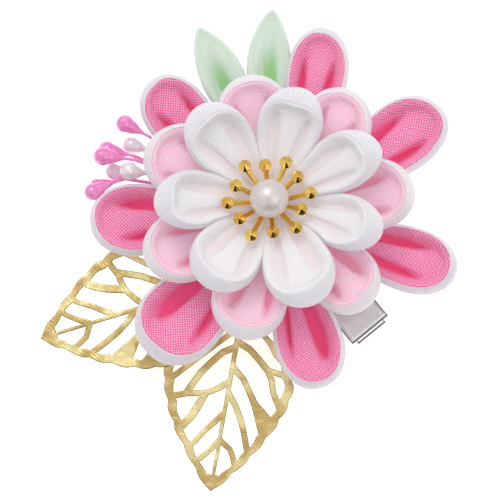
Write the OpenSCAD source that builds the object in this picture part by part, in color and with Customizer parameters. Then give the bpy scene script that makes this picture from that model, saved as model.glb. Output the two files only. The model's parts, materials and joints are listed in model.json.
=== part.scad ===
// Folded-cloth flower hair clip: three tiers of round petals, two pointed leaves,
// two pierced metal leaves, a spray of beads on stems, a pearl in a stamen cap,
// all on a felt base that is glued to a sprung alligator clip.
// The origin is the middle of the stretch where the closed jaws grip the hair,
// and the ornament lies on its back, on the jaw tip and the end of the lever.

/* [Cloth] */
// Thickness of the doubled cloth in a petal wall
cloth = 1.2; // [1:0.1:1.5]
// Height of a petal's wall at its inner end, as a share of that at its outer end
inner_share = 0.38; // [0.3:0.02:0.45]
// Height of the pleat along a petal's middle, as a share of the wall
pleat_share = 0.5; // [0.3:0.05:0.6]

/* [White petals] */
// Length of a white petal
white_len = 22.5; // [20:0.5:24]
// Width of a white petal
white_w = 14; // [11:0.5:14.5]
// Height of a white petal at its outer end
white_h = 7; // [6:0.5:9]
// How far a white petal's tip leans in over its pocket
white_curl = 3.6; // [2:0.2:4.2]
// Upward slope of the white petals, in degrees
white_rise = 11; // [8:1:14]
// Distance of the white petals' inner ends from their middle
white_seat = 2.8; // [2.4:0.1:4]

/* [Blush petals] */
// Length of a blush petal
blush_len = 23.5; // [21:0.5:26]
// Width of a blush petal
blush_w = 15.6; // [13:0.2:17]
// Height of a blush petal at its outer end
blush_h = 7; // [6:0.5:9]
// How far a blush petal's tip leans in over its pocket
blush_curl = 1.9; // [1:0.1:3]
// Upward slope of the blush petals, in degrees
blush_rise = 7; // [5:1:10]
// Distance of the blush petals' inner ends from their middle
blush_seat = 6; // [5.4:0.2:8]

/* [Rose petals] */
// Length of a rose petal
rose_len = 27.5; // [24:0.5:30]
// Width of a rose petal
rose_w = 14.4; // [12:0.2:16]
// Height of a rose petal at its outer end
rose_h = 8; // [6:0.5:10]
// How far a rose petal's tip leans in over its pocket
rose_curl = 1.8; // [1:0.1:3]
// Distance of the rose petals' inner ends from the middle
rose_seat = 12; // [11:0.5:14]

/* [Green leaves] */
// Length of a green leaf
green_len = 29; // [25:0.5:32]
// Width of a green leaf
green_w = 10.4; // [8:0.2:12]
// Height of a green leaf's wall
green_h = 5; // [4:0.5:7]
// Distance of the green leaves' inner ends from the middle
green_seat = 14; // [13:0.5:16]

/* [Gold leaves] */
// Length of a gold leaf's blade
blade_len = 39; // [34:1:44]
// Width of a gold leaf's blade
blade_w = 28; // [24:1:32]
// Thickness of the gold sheet
sheet = 0.4; // [0.3:0.05:0.6]
// Width of the edge band round a gold leaf
band = 1.7; // [1.2:0.1:2.4]
// Width of a gold leaf's midrib
rib_w = 1.3; // [1:0.1:2]
// Depth of the scallops along a gold leaf's edge
scallop = 0.5; // [0.2:0.1:0.9]
// Number of scallops along each side of a gold leaf
scallops = 9; // [6:1:12]
// Length of the stem that is glued under the felt
leaf_stem = 8; // [6:0.5:9]

/* [Buds] */
// Distance of the furthest bud from the middle
spray_reach = 38; // [35:0.5:42]
// Height of the highest bud above the felt
spray_h = 7.2; // [6:0.2:9]
// Radius of a bud
bud_r = 1.9; // [1.5:0.1:2.1]
// Radius of a bud's stem
stem_r = 0.34; // [0.25:0.01:0.4]

/* [Middle] */
// Diameter of the pearl
pearl_d = 8; // [7:0.2:9]
// Distance of the furthest stamen ball from the pearl's axis
stamen_reach = 8.6; // [8:0.2:10]
// Diameter of a stamen ball
ball_d = 2.6; // [2:0.1:3]
// Width of a stamen arm
arm_w = 1.1; // [0.8:0.1:1.4]

/* [Felt base] */
// Radius of the felt base
felt_r = 18; // [16:0.5:20]
// Thickness of the felt base
felt_t = 1.4; // [1:0.1:2]

/* [Clip] */
// Direction that the jaws point in, in degrees from the X axis
clip_az = -51; // [-80:1:-20]
// Distance from the flower's middle to the upper plate's tip
plate_reach = 31.6; // [28:0.2:36]
// How far the lower jaw reaches past the upper plate
jaw_over = 0.7; // [0.2:0.1:1.2]
// Distance from the flower's middle to the end of the lever
lever_reach = 16.8; // [14:0.2:20]
// Width of the upper plate
plate_w = 9.6; // [8.4:0.2:11]
// Thickness of the clip's steel sheet
steel = 0.5; // [0.4:0.05:0.7]
// Depth of the upper plate's bent-down lips
lip = 1.9; // [1.4:0.1:2.2]
// Width of the bevel along the upper plate's sides
bevel = 0.9; // [0.5:0.1:1.2]
// Depth of the teeth along the lower jaw
tooth = 1.5; // [1:0.1:2]
// Radius of the hinge pin
pin_r = 0.75; // [0.6:0.05:0.9]
// Distance of the hinge pin below the upper plate's top
pin_drop = 3; // [2.8:0.1:3.6]
// Wire of the spring
wire = 0.6; // [0.4:0.05:0.7]
// Turns of the spring that stay with the upper plate
turns = 6; // [4:1:6]
// Slope of the lever below the pin, in degrees
lever_slope = 10; // [8:1:14]

/* [Fits] */
// Gap between glued pieces
glue = 0.1; // [0.05:0.05:0.2]
// Gap between the petals of one tier and the rims of the tier below
tier_gap = 0.3; // [0.2:0.1:1]
// Radial clearance of the pin in the upper plate's ears
pin_fit = 0.03; // [0.02:0.01:0.1]
// Radial clearance of the pin in the moving jaw's ears
run_fit = 0.06; // [0.02:0.01:0.1]
// Gap between the moving jaw and the upper plate around it
side_gap = 0.6; // [0.4:0.05:0.8]
// Gap between the spring's coil and the pin and strip beside it
coil_gap = 0.15; // [0.1:0.05:0.2]

/* [Hidden] */
// Petal rows: azimuth and turn in degrees, shares of the tier's length, of its
// width left and right of the spine, and of its curl, lift as a share of the height
AZ = 0; TURN = 1; LEN = 2; LEFT = 3; RIGHT = 4; CURL = 5; LIFT = 6;
white_rows = [
    [130, 0, 0.99, 0.97, 0.97, 1, 0.05],
    [75, -2, 0.97, 1.02, 0.9, 1.05, 0],
    [20, 4, 1.03, 0.98, 0.73, 1.05, 0.15],
    [-14, -5, 1, 0.82, 0.82, 0.95, 0],
    [-68, 0, 0.99, 1.04, 1.06, 0.85, 0.05],
    [-126, -1, 0.93, 1.03, 1.04, 0.8, 0],
    [180, 4, 0.98, 0.78, 0.96, 0.95, 0.08]];
blush_rows = [
    [106, -1, 1, 0.98, 1.04, 1, 0],
    [57, 0, 1, 0.95, 1, 0.9, 0],
    [9, -3, 0.97, 1.03, 0.88, 1, 0],
    [-48, 0, 0.94, 0.95, 0.93, 1, 0],
    [-106, -2, 0.98, 0.96, 1.06, 1.25, 0],
    [201, 0, 1.05, 0.98, 0.97, 1, 0],
    [154, 1, 1.08, 0.99, 1.1, 1, 0]];
rose_rows = [
    [139, -8, 0.96, 1, 0.88, 1.2, 0],
    [64, 15, 1.04, 0.78, 0.96, 1.2, 0],
    [21, 13, 1.07, 1.06, 0.94, 1, 0],
    [-21, 2, 1.02, 0.93, 0.98, 1, 0],
    [-79, 5, 0.96, 1.03, 0.98, 0.8, 0],
    [-129, -3, 1.02, 1.22, 1.26, 1.7, 0],
    [183, 0, 0.98, 1.08, 1.04, 0.9, 0]];
green_rows = [[107, 10, 0.98, 0.88, 0.96, 1, 0], [94, -5, 0.98, 0.92, 0.8, 1, 0]];
// How a petal's outline narrows: powers of the curve at the root and at the tip,
// then where its widest part is and how far the tip's foot lies from there
ROOT = 0; TIP = 1; BELLY = 2; FOOT = 3;
white_form = [1.8, 0, 0.64, 0.3];
blush_form = [0.9, 0, 0.64, 0.3];
rose_form = [0.75, 0, 0.64, 0.3];
leaf_form = [2.8, 0.55, 0.58, 0.7];

// Handmade offsets of the upper tiers and the pearl from the felt's middle
white_mid = pearl_d * [-0.09, 0.16, 0];
blush_mid = pearl_d * [0.15, -0.025, 0];
pearl_mid = pearl_d * [-0.1, 0.1, 0];

// Across a petal's wall, from the foot outside, over the lip, to the foot inside:
// inset as shares of the curl and of the cloth, height as a share of the wall
wall_rows = [[0.55, 0, 0], [0, 0, 0.5], [0.32, 0, 0.85], [0.85, 0, 1], [0.95, 0.9, 0.97], [0.15, 1.05, 0.5]];
// Across a petal's floor: distance from its spine, height as a share of the pleat
floor_rows = [[0.5, 0], [0.22, 0.75]];

// Bud rows: sideways place, distance and height of the head, the same of the knee,
// size. Sideways places are shares of half the free angle between the two rose petals
// beside the spray, distances and heights are shares of the spray's reach and height
bud_rows = [
    ["pearl", -0.78, 0.89, 0.28, -0.9, 0.78, 0.28, 0.97],
    ["pink", -0.18, 0.998, 0.42, -0.36, 0.845, 0.42, 1.03],
    ["pearl", 0.54, 0.93, 0.33, 0.18, 0.79, 0.33, 0.92],
    ["pink", 1.26, 1, 0.36, 0.72, 0.85, 0.33, 0.9],
    ["pink", -1.38, 0.965, 0.69, -1.44, 0.815, 0.62, 1],
    ["pink", 0.18, 0.992, 1, -0.12, 0.826, 0.85, 1.05],
    ["pearl", 0.48, 0.83, 1, 0.36, 0.73, 0.84, 1.02],
    ["pink", 1.56, 1.01, 0.8, 0.84, 0.88, 0.76, 0.95]];
spray_az = (rose_rows[0][AZ] + rose_rows[6][AZ]) / 2;
spray_half = (rose_rows[6][AZ] - rose_rows[0][AZ]) / 2
    - atan(rose_w / 2 / (rose_seat + rose_len * rose_form[BELLY]));
// Where the stems meet the felt: first azimuth, step between stems, stems in a layer
root_az = 155;
root_step = 3;
root_row = 4;

// Stamen rows: azimuth in degrees, distance as a share of the stamen's reach
stamen_rows = [[126, 1], [97, 0.84], [66, 0.98], [39, 0.86], [9, 0.99], [-17, 0.79],
    [-47, 0.92], [-84, 0.78], [-117, 0.95], [-148, 0.84], [184, 1], [157, 0.87]];

// Gold leaf outline: distance from the tip as a share of the length, then half
// widths right and left of the midrib as shares of half the width
outline_rows = [[0, 0, 0], [0.05, 0.16, 0.14], [0.1, 0.27, 0.25], [0.2, 0.49, 0.47], [0.3, 0.69, 0.64],
    [0.4, 0.84, 0.79], [0.48, 0.92, 0.88], [0.57, 1, 0.95], [0.64, 1, 0.95], [0.74, 0.87, 0.82],
    [0.84, 0.6, 0.56], [0.93, 0.32, 0.3], [1, 0.05, 0.05]];
// Gold leaf veins: stations of distance from the tip, sideways place and width,
// as shares of the length, of half the width and of the midrib's width
vein_rows = [
    [[0.9, 0, 0.9], [0.8, -0.27, 0.9], [0.7, -0.53, 0.9], [0.57, -0.87, 0.9]],
    [[0.79, 0, 1.1], [0.75, -0.18, 1.1], [0.69, -0.32, 1.1], [0.62, -0.46, 1.1], [0.5, -0.62, 1.1]],
    [[0.6, 0, 1.1], [0.555, -0.15, 1], [0.515, -0.33, 1], [0.5, -0.59, 1], [0.465, -0.86, 1]],
    [[0.51, -0.34, 1.2], [0.43, -0.42, 1.3], [0.37, -0.5, 1.3], [0.32, -0.6, 1.3]],
    [[0.43, 0, 1], [0.375, -0.11, 1], [0.315, -0.245, 0.9], [0.25, -0.36, 0.9], [0.215, -0.46, 0.9]],
    [[0.28, 0, 1], [0.225, -0.1, 0.9], [0.165, -0.24, 0.9], [0.145, -0.33, 0.9]],
    [[0.82, 0, 1.1], [0.79, 0.21, 1.1], [0.745, 0.37, 1.1], [0.69, 0.54, 1.1], [0.645, 0.615, 1],
        [0.58, 0.67, 1], [0.48, 0.84, 1]],
    [[0.695, 0.53, 1], [0.68, 0.79, 1], [0.66, 0.92, 1]],
    [[0.68, 0, 1.1], [0.625, 0.195, 1], [0.565, 0.31, 1], [0.5, 0.43, 1.2], [0.45, 0.54, 2.2],
        [0.37, 0.7, 3.4]],
    [[0.54, 0, 1.1], [0.475, 0.15, 1], [0.41, 0.255, 1], [0.335, 0.345, 1], [0.22, 0.46, 1]],
    [[0.28, 0, 1], [0.24, 0.18, 0.9], [0.2, 0.24, 0.9], [0.13, 0.32, 0.9]]];
// Gold leaves: azimuth of the blade's base, its distance as a share of the felt's
// radius, heading in degrees, layer under the felt
BASE_AZ = 0; BASE_R = 1; HEADING = 2; LAYER = 3;
gold_left = [229.8, 1.078, 197, 0];
gold_bottom = [-109.3, 1.178, -100, 1];

petal_sides = 24;
root_foot = 0.72;
side_curl = 1;
outer_share = 0.92;
tier_samples = 8;
round_fn = 48;
ball_fn = 24;

plate_top = -felt_t - 2 * glue;
pin_z = plate_top - pin_drop;
jaw_w = plate_w - 2 * steel - 2 * side_gap;
coil_r = pin_r + coil_gap + wire / 2;
strip_top = pin_z - coil_r - wire / 2 - coil_gap;
jaw_reach = plate_reach + jaw_over;
ear_r = pin_r * 3;
tooth_start = 3 * ear_r - steel;
tooth_end = plate_reach - steel - side_gap;
tooth_top = plate_top - steel - side_gap;
jaw_tip_top = tooth_top - tooth;
lever_end_top = strip_top - (lever_reach - coil_r) * tan(lever_slope);
function jaw_top(x) = strip_top + (jaw_tip_top - strip_top) * (x - coil_r) / (jaw_reach - coil_r);
tip_low = [jaw_reach, jaw_tip_top - steel];
lever_low = [-lever_reach, lever_end_top - steel];
rest_lean = atan2(tip_low[1] - lever_low[1], tip_low[0] - lever_low[0]);
grip = [(tooth_start + tooth_end) / 2, 0, (tooth_top + plate_top - steel) / 2];

function smooth(t) = let (s = min(1, max(0, t))) s * s * (3 - 2 * s);
function ray(az) = [cos(az), sin(az), 0];
function rim(x, len, h) = h * (inner_share + (1 - inner_share) * smooth(x / len));

// Lowest seat at which an upper tier's floors clear the rims below them
function tier_seat(seat, len, rise, low_z, low_seat, low_len, low_h, low_rise) =
    tier_gap + max([for (i = [0:tier_samples]) let (
        r0 = max(seat, low_seat),
        r = r0 + (seat + len * outer_share - r0) * i / tier_samples)
        low_z + (r - low_seat) * tan(low_rise) + rim(r - low_seat, low_len, low_h) - (r - seat) * tan(rise)]);
blush_z = tier_seat(blush_seat, blush_len, blush_rise, 0, rose_seat, rose_len, rose_h, 0);
white_z = tier_seat(white_seat, white_len, white_rise, blush_z, blush_seat, blush_len, blush_h, blush_rise);
function white_rim(r) = white_z + (r - white_seat) * tan(white_rise) + rim(r - white_seat, white_len, white_h)
    + 0.1 * white_h;
cap_r = pearl_d * 0.4;
cap_t = 0.7;
cap_z = white_rim(cap_r) + tier_gap;
pearl_z = cap_z + cap_t + glue + pearl_d / 2;
ball_z = white_rim(stamen_reach) + ball_d / 2 + tier_gap;

// A point of the petal's plan outline and the spine point that it belongs to
function station(phi, len, left, right, form) = let (
    c = cos(phi), s = sin(phi), belly = len * form[BELLY],
    reach = (c > 0 ? len - belly : belly) * c,
    half = s > 0 ? left : right)
    [belly + reach, half * s * pow(abs(s), c > 0 ? form[TIP] : form[ROOT]),
     belly + reach * (c > 0 ? form[FOOT] : root_foot)];
function toward_spine(st, inset, z) = let (
    d = norm([st[0] - st[2], st[1]]), k = max(0.25, 1 - inset / d))
    [st[2] + (st[0] - st[2]) * k, st[1] * k, z];
function share_out(st, k, z) = [st[2] + (st[0] - st[2]) * k, st[1] * k, z];
function pleat_z(x, len, h) = pleat_share * rim(x, len, h) * (1 - smooth((x / len - 0.5) / 0.4));

function petal_points(len, left, right, h, curl, form) = let (
    stations = [for (j = [0:petal_sides - 1]) station(360 * j / petal_sides, len, left, right, form)])
    concat(
        [for (row = wall_rows) for (j = [0:petal_sides - 1]) let (
            st = stations[j],
            lean = side_curl + (curl - side_curl) * pow(max(0, cos(360 * j / petal_sides)), 2))
            toward_spine(st, row[0] * lean + row[1] * cloth, row[2] * rim(st[0], len, h))],
        [for (row = floor_rows) for (st = stations)
            share_out(st, row[0], cloth + row[1] * pleat_z(st[2], len, h))],
        [for (j = [1:petal_sides / 2 - 1]) [stations[j][2], 0, cloth + pleat_z(stations[j][2], len, h)]]);

function ring_index(ring, j) = ring * petal_sides + j % petal_sides;
petal_rings = len(wall_rows) + len(floor_rows);
function spine_index(j) = petal_rings * petal_sides - 1
    + min(petal_sides / 2 - 1, max(1, min(j % petal_sides, petal_sides - j % petal_sides)));
petal_faces = concat(
    [for (r = [0:petal_rings - 2]) for (j = [0:petal_sides - 1])
        each [[ring_index(r, j), ring_index(r + 1, j), ring_index(r + 1, j + 1)],
              [ring_index(r, j), ring_index(r + 1, j + 1), ring_index(r, j + 1)]]],
    [for (j = [0:petal_sides - 1])
        [ring_index(petal_rings - 1, j), spine_index(j + 1), ring_index(petal_rings - 1, j + 1)]],
    [for (j = [0:petal_sides - 1]) if (spine_index(j) != spine_index(j + 1))
        [ring_index(petal_rings - 1, j), spine_index(j), spine_index(j + 1)]],
    [[for (j = [0:petal_sides - 1]) ring_index(0, j)]]);

// The flower is drawn level, round its own middle, and then laid on its back
module lay() {
    rotate(a = rest_lean, v = [-sin(clip_az), cos(clip_az), 0])
        rotate([0, 0, clip_az]) translate(-grip) rotate([0, 0, -clip_az])
            children();
}

module folded_petal(row, mid, seat, z, rise, size, form) {
    lay() translate(mid) rotate([0, 0, row[AZ]]) translate([seat, 0, z + row[LIFT] * size[2]])
        rotate([0, 0, row[TURN]]) rotate([0, -rise, 0])
            polyhedron(petal_points(size[0] * row[LEN], size[1] / 2 * row[LEFT], size[1] / 2 * row[RIGHT],
                size[2], size[3] * row[CURL], form), petal_faces, 6);
}

module white_petal(i) {
    color([0.95, 0.94, 0.96])
        folded_petal(white_rows[i], white_mid, white_seat, white_z, white_rise,
            [white_len, white_w, white_h, white_curl], white_form);
}

module blush_petal(i) {
    color([0.97, 0.8, 0.87])
        folded_petal(blush_rows[i], blush_mid, blush_seat, blush_z, blush_rise,
            [blush_len, blush_w, blush_h, blush_curl], blush_form);
}

module rose_petal(i) {
    color([0.92, 0.3, 0.5])
        folded_petal(rose_rows[i], [0, 0, 0], rose_seat, 0, 0,
            [rose_len, rose_w, rose_h, rose_curl], rose_form);
}

module green_leaf(i) {
    color([0.68, 0.86, 0.7])
        folded_petal(green_rows[i], [0, 0, 0], green_seat, 0, 0,
            [green_len, green_w, green_h, side_curl], leaf_form);
}

// A straight round bar between two points
module bar(a, b, r, fn) {
    d = b - a;
    translate(a) rotate([0, acos(d[2] / norm(d)), atan2(d[1], d[0])])
        cylinder(h = norm(d), r = r, $fn = fn);
}

// A teardrop on its stem: the head's round end looks away from the knee
module bud(i) {
    row = bud_rows[i];
    head = row[2] * spray_reach * ray(spray_az + row[1] * spray_half) + [0, 0, row[3] * spray_h];
    knee = row[5] * spray_reach * ray(spray_az + row[4] * spray_half) + [0, 0, row[6] * spray_h];
    root = (felt_r + stem_r) * ray(root_az + root_step * (i % root_row))
        + [0, 0, stem_r + glue + floor(i / root_row) * (2 * stem_r + glue)];
    r = bud_r * row[7];
    d = head - knee;
    neck = norm(d);
    tail = min(2.4 * r, neck - stem_r);
    color(row[0] == "pink" ? [0.9, 0.45, 0.68] : [0.93, 0.9, 0.92])
        lay() union() {
            translate(knee) rotate([0, acos(d[2] / neck), atan2(d[1], d[0])])
                rotate_extrude($fn = round_fn)
                    polygon(concat([[0, 0], [stem_r, 0]],
                        [for (t = [0:0.25:1])
                            [stem_r + (r * 0.8 - stem_r) * smooth(t), neck - tail + (tail - r * 0.6) * t]],
                        [for (a = [-30:20:70]) [r * cos(a), neck + r * sin(a)]], [[0, neck + r]]));
            translate(knee) sphere(r = stem_r * 1.15, $fn = ball_fn);
            bar(root, knee, stem_r, ball_fn);
        }
}

// Outline of a gold leaf in the plane, its base at the origin and its tip on the X axis
function outline_half(a, side) = lookup(a, [for (row = outline_rows) [row[0], row[side < 0 ? 1 : 2]]]);
function edge_point(a, side, inset) = let (
    wave = scallop * (abs(sin(180 * scallops * a)) - 0.5),
    half = max(0, outline_half(a, side) * blade_w / 2 + wave - inset))
    [blade_len * (1 - a), side * half];
edge_steps = scallops * 6;
module blade_outline(inset, from, to) {
    polygon(concat(
        [for (i = [0:edge_steps]) edge_point(from + (to - from) * i / edge_steps, -1, inset)],
        [for (i = [edge_steps:-1:0]) edge_point(from + (to - from) * i / edge_steps, 1, inset)]));
}

function vein_place(p) = [blade_len * (1 - p[0]), p[1] * blade_w / 2];
function left_of(a, b) = let (d = b - a) [-d[1], d[0]] / norm(d);
function vein_normal(pts, i) = left_of(pts[max(0, i - 1)], pts[min(len(pts) - 1, i + 1)]);
module vein(row) {
    pts = [for (p = row) vein_place(p)];
    half = [for (p = row) p[2] * rib_w / 2];
    polygon(concat(
        [for (i = [0:len(pts) - 1]) pts[i] + half[i] * vein_normal(pts, i)],
        [for (i = [len(pts) - 1:-1:0]) pts[i] - half[i] * vein_normal(pts, i)]));
}

module gold_leaf(place) {
    z = -felt_t - glue - (place[LAYER] + 1) * (sheet + glue);
    color([0.93, 0.8, 0.5])
        lay() translate(place[BASE_R] * felt_r * ray(place[BASE_AZ]) + [0, 0, z]) rotate([0, 0, place[HEADING]])
            linear_extrude(sheet) {
                difference() {
                    blade_outline(0, 0, 1);
                    blade_outline(band + scallop / 2, 0.09, 0.95);
                }
                polygon([[-leaf_stem, rib_w / 2], [blade_len * 0.93, rib_w / 4],
                    [blade_len * 0.93, -rib_w / 4], [-leaf_stem, -rib_w / 2]]);
                intersection() {
                    blade_outline(band / 2, 0.02, 0.98);
                    union() for (row = vein_rows) vein(row);
                }
            }
}

module pearl() {
    color([0.93, 0.91, 0.92])
        lay() translate(pearl_mid + [0, 0, pearl_z]) difference() {
            sphere(d = pearl_d, $fn = round_fn);
            translate([0, 0, -pearl_d]) cylinder(h = pearl_d, r = arm_w / 2 + pin_fit, $fn = ball_fn);
        }
}

module stamen_cap() {
    color([0.95, 0.72, 0.25])
        lay() translate(pearl_mid) union() {
            translate([0, 0, cap_z]) cylinder(h = cap_t, r = cap_r, $fn = round_fn);
            translate([0, 0, cap_z]) cylinder(h = pearl_z - cap_z - glue, r = arm_w / 2, $fn = ball_fn);
            for (row = stamen_rows) {
                ball = row[1] * stamen_reach * ray(row[0]) + [0, 0, ball_z];
                bar((cap_r - arm_w) * ray(row[0]) + [0, 0, cap_z + arm_w / 2], ball, arm_w / 2, ball_fn);
                translate(ball) sphere(d = ball_d, $fn = ball_fn);
            }
        }
}

// Felt disc with the stacked felt pads that the tiers are glued on
module felt_base() {
    color([0.9, 0.88, 0.86])
        lay() union() {
            translate([0, 0, -felt_t - glue]) cylinder(h = felt_t, r = felt_r, $fn = round_fn);
            translate([0, 0, -felt_t - glue])
                cylinder(h = felt_t + blush_z, r = rose_seat - 2 * tier_gap, $fn = round_fn);
            translate(blush_mid) cylinder(h = white_z - glue, r = blush_seat - tier_gap, $fn = round_fn);
            translate(white_mid) cylinder(h = cap_z - glue, r = white_seat - tier_gap, $fn = round_fn);
        }
}

module in_clip() {
    lay() rotate([0, 0, clip_az]) children();
}

// Extrudes a shape drawn as (along the clip, height) across a width
module across(w) {
    rotate([90, 0, 0]) translate([0, 0, -w / 2]) linear_extrude(w) children();
}

// Block with bevelled long sides and a bevelled tip, the plate's outside or inside
module plate_block(inset) {
    top = plate_top - inset;
    half = plate_w / 2 - inset;
    tip = plate_reach - inset;
    rear = inset > 0 ? -lever_reach - steel : -lever_reach;
    fall = 0.8 * steel;
    intersection() {
        across(2 * plate_w)
            polygon([[rear, top], [tip - fall, top], [tip, top - fall], [tip, top - lip], [rear, top - lip]]);
        rotate([90, 0, 90]) translate([0, 0, -2 * lever_reach])
            linear_extrude(2 * lever_reach + 2 * plate_reach)
                polygon([[-half, top - lip], [-half, top - fall], [-half + bevel, top],
                    [half - bevel, top], [half, top - fall], [half, top - lip]]);
    }
}

module ear(side, outer_half, r, end) {
    translate([0, side * (outer_half - steel / 2), 0]) {
        translate([0, 0, pin_z]) rotate([90, 0, 0]) cylinder(h = steel, r = r, center = true, $fn = round_fn);
        translate([-r, -steel / 2, min(pin_z, end)]) cube([2 * r, steel, abs(end - pin_z)]);
    }
}

module pin_bore(r) {
    translate([0, 0, pin_z]) rotate([90, 0, 0])
        cylinder(h = 2 * plate_w, r = r, center = true, $fn = round_fn);
}

module clip_plate() {
    color([0.75, 0.75, 0.77])
        in_clip() difference() {
            union() {
                difference() {
                    plate_block(0);
                    plate_block(steel);
                }
                for (side = [-1, 1]) ear(side, plate_w / 2, ear_r, plate_top - lip + steel);
            }
            pin_bore(pin_r + pin_fit);
        }
}

// Lower jaw and lever: one bent strip with toothed edges and ears round the pin
tooth_rows = 9;
module jaw_edge(side) {
    pitch = (tooth_end - tooth_start) / tooth_rows;
    translate([0, side * (jaw_w / 2 - steel / 2), 0]) across(steel)
        polygon(concat(
            [[tooth_end, jaw_top(tooth_end) - steel / 2], [tooth_start, jaw_top(tooth_start) - steel / 2]],
            [for (i = [0:tooth_rows - 1]) each [
                [tooth_start + i * pitch, tooth_top - tooth / 2],
                [tooth_start + (i + 0.5) * pitch, tooth_top]]],
            [[tooth_end, tooth_top - tooth / 2]]));
}

module clip_jaw() {
    color([0.72, 0.72, 0.74])
        in_clip() difference() {
            union() {
                across(jaw_w)
                    polygon([[jaw_reach, jaw_tip_top], [coil_r, strip_top], [-coil_r, strip_top],
                        [-lever_reach, lever_end_top], [-lever_reach, lever_end_top - steel],
                        [-coil_r, strip_top - steel], [coil_r, strip_top - steel],
                        [jaw_reach, jaw_tip_top - steel]]);
                for (side = [-1, 1]) {
                    jaw_edge(side);
                    ear(side, jaw_w / 2, pin_r * 2.5, strip_top - steel / 2);
                }
            }
            pin_bore(pin_r + run_fit);
        }
}

module clip_pin() {
    head = steel * 0.8;
    color([0.65, 0.65, 0.68])
        in_clip() translate([0, 0, pin_z]) rotate([90, 0, 0]) union() {
            cylinder(h = plate_w + 2 * glue + head, r = pin_r, center = true, $fn = round_fn);
            for (side = [-1, 1])
                translate([0, 0, side * (plate_w / 2 + glue + head / 2)])
                    cylinder(h = head, r = pin_r * 1.5, center = true, $fn = round_fn);
        }
}

// A ring of spring wire round the pin, at a place along it
module turn(place) {
    translate([0, place, pin_z]) rotate([90, 0, 0])
        rotate_extrude($fn = round_fn) translate([coil_r, 0]) circle(d = wire, $fn = ball_fn);
}

coil_half = turns * wire * 0.95 / 2;
spring_reach = lever_reach * 0.55;
module clip_spring() {
    color([0.6, 0.6, 0.62])
        in_clip() union() {
            translate([0, 0, pin_z]) rotate([90, 0, 0]) difference() {
                cylinder(h = 2 * coil_half - wire, r = coil_r, center = true, $fn = round_fn);
                cylinder(h = 2 * coil_half, r = coil_r - wire / 4, center = true, $fn = round_fn);
            }
            for (i = [0:turns - 1]) turn((i + 0.5) * 2 * coil_half / turns - coil_half);
            bar([0, coil_half - wire / 2, pin_z + coil_r],
                [-spring_reach, coil_half - wire / 2, plate_top - steel - wire / 2 - glue],
                wire * 0.45, ball_fn);
        }
}

module clip_spring_leg() {
    place = -coil_half - wire / 2 - glue;
    drop = (spring_reach - coil_r) * tan(lever_slope);
    color([0.6, 0.6, 0.62])
        in_clip() union() {
            turn(place);
            bar([0, place, pin_z - coil_r],
                [-spring_reach, place, strip_top - drop + wire / 2 + glue], wire * 0.45, ball_fn);
        }
}

for (i = [1:len(white_rows)])
    white_petal(i - 1);
for (i = [1:len(blush_rows)])
    blush_petal(i - 1);
for (i = [1:len(rose_rows)])
    rose_petal(i - 1);
for (i = [1:len(green_rows)])
    green_leaf(i - 1);
for (i = [1:len(bud_rows)])
    bud(i - 1);
gold_leaf(gold_left);  // gold_leaf_left
gold_leaf(gold_bottom);  // gold_leaf_bottom
pearl();
stamen_cap();
felt_base();
clip_plate();
clip_jaw();
clip_pin();
clip_spring();
clip_spring_leg();
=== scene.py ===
"""Looks of the folded-cloth flower hair clip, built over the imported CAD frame."""
import json
import math

import bmesh
import bpy
import numpy as np
from mathutils import Matrix, Vector


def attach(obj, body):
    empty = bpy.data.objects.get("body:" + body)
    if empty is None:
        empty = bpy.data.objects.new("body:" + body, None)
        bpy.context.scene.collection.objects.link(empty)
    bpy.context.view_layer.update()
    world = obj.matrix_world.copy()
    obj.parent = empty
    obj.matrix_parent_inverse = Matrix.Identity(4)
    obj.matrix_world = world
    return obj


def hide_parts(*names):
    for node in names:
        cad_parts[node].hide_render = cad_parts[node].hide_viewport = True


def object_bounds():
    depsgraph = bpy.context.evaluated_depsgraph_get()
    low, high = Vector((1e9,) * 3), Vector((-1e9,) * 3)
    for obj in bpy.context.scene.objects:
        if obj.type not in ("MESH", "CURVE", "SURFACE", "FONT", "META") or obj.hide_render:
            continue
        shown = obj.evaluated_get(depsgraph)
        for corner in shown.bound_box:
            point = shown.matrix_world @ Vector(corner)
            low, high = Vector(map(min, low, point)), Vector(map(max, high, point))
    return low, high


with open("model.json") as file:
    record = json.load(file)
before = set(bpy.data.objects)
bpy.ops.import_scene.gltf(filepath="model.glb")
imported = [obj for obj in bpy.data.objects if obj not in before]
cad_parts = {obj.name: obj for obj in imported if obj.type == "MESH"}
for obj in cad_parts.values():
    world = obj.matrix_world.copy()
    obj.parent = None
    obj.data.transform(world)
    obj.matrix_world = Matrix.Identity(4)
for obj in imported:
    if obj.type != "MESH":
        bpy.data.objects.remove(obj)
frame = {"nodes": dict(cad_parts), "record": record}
cad_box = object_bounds()
MM = 0.001

# Sizes in mm, mostly those of the CAD model
CLOTH = 1.2  # the doubled ribbon
INNER_SHARE = 0.38  # height of a petal's wall at its root, as a share of its full height
ROOT_FOOT = 0.72  # reach of the petal's foot towards its root, as a share of the outline's
SIDE_CURL = 1.0  # how far the side walls lean in
FELT_R, FELT_T = 18.0, 1.4
STAMEN_REACH = 8.6
ARM_WIDTHS, ARM_THICKS = [1.5, 1.25, 1.1, 1.1, 1.4], [0.6, 0.55, 0.55, 0.6, 0.65]  # root to ball
BALL_D = 2.6
HEAD_R = BALL_D / 2 * 1.07  # the stamen's cut head, a little over the ball that it stands for
CLIP_AZ = -51.0  # the way the jaws point, in degrees
CLIP_TIP, CLIP_HALF = 13.2, 4.8  # the plate's tip and half width, from the grip
JAW_TIP, JAW_HALF = 13.68, 3.7
GRIP = (18.375, 0.0, -2.4)  # the grip, from the flower's middle, with the jaws along X
REST_LEAN = 5.58428  # how far the flower leans as it lies on its clip, in degrees
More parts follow.
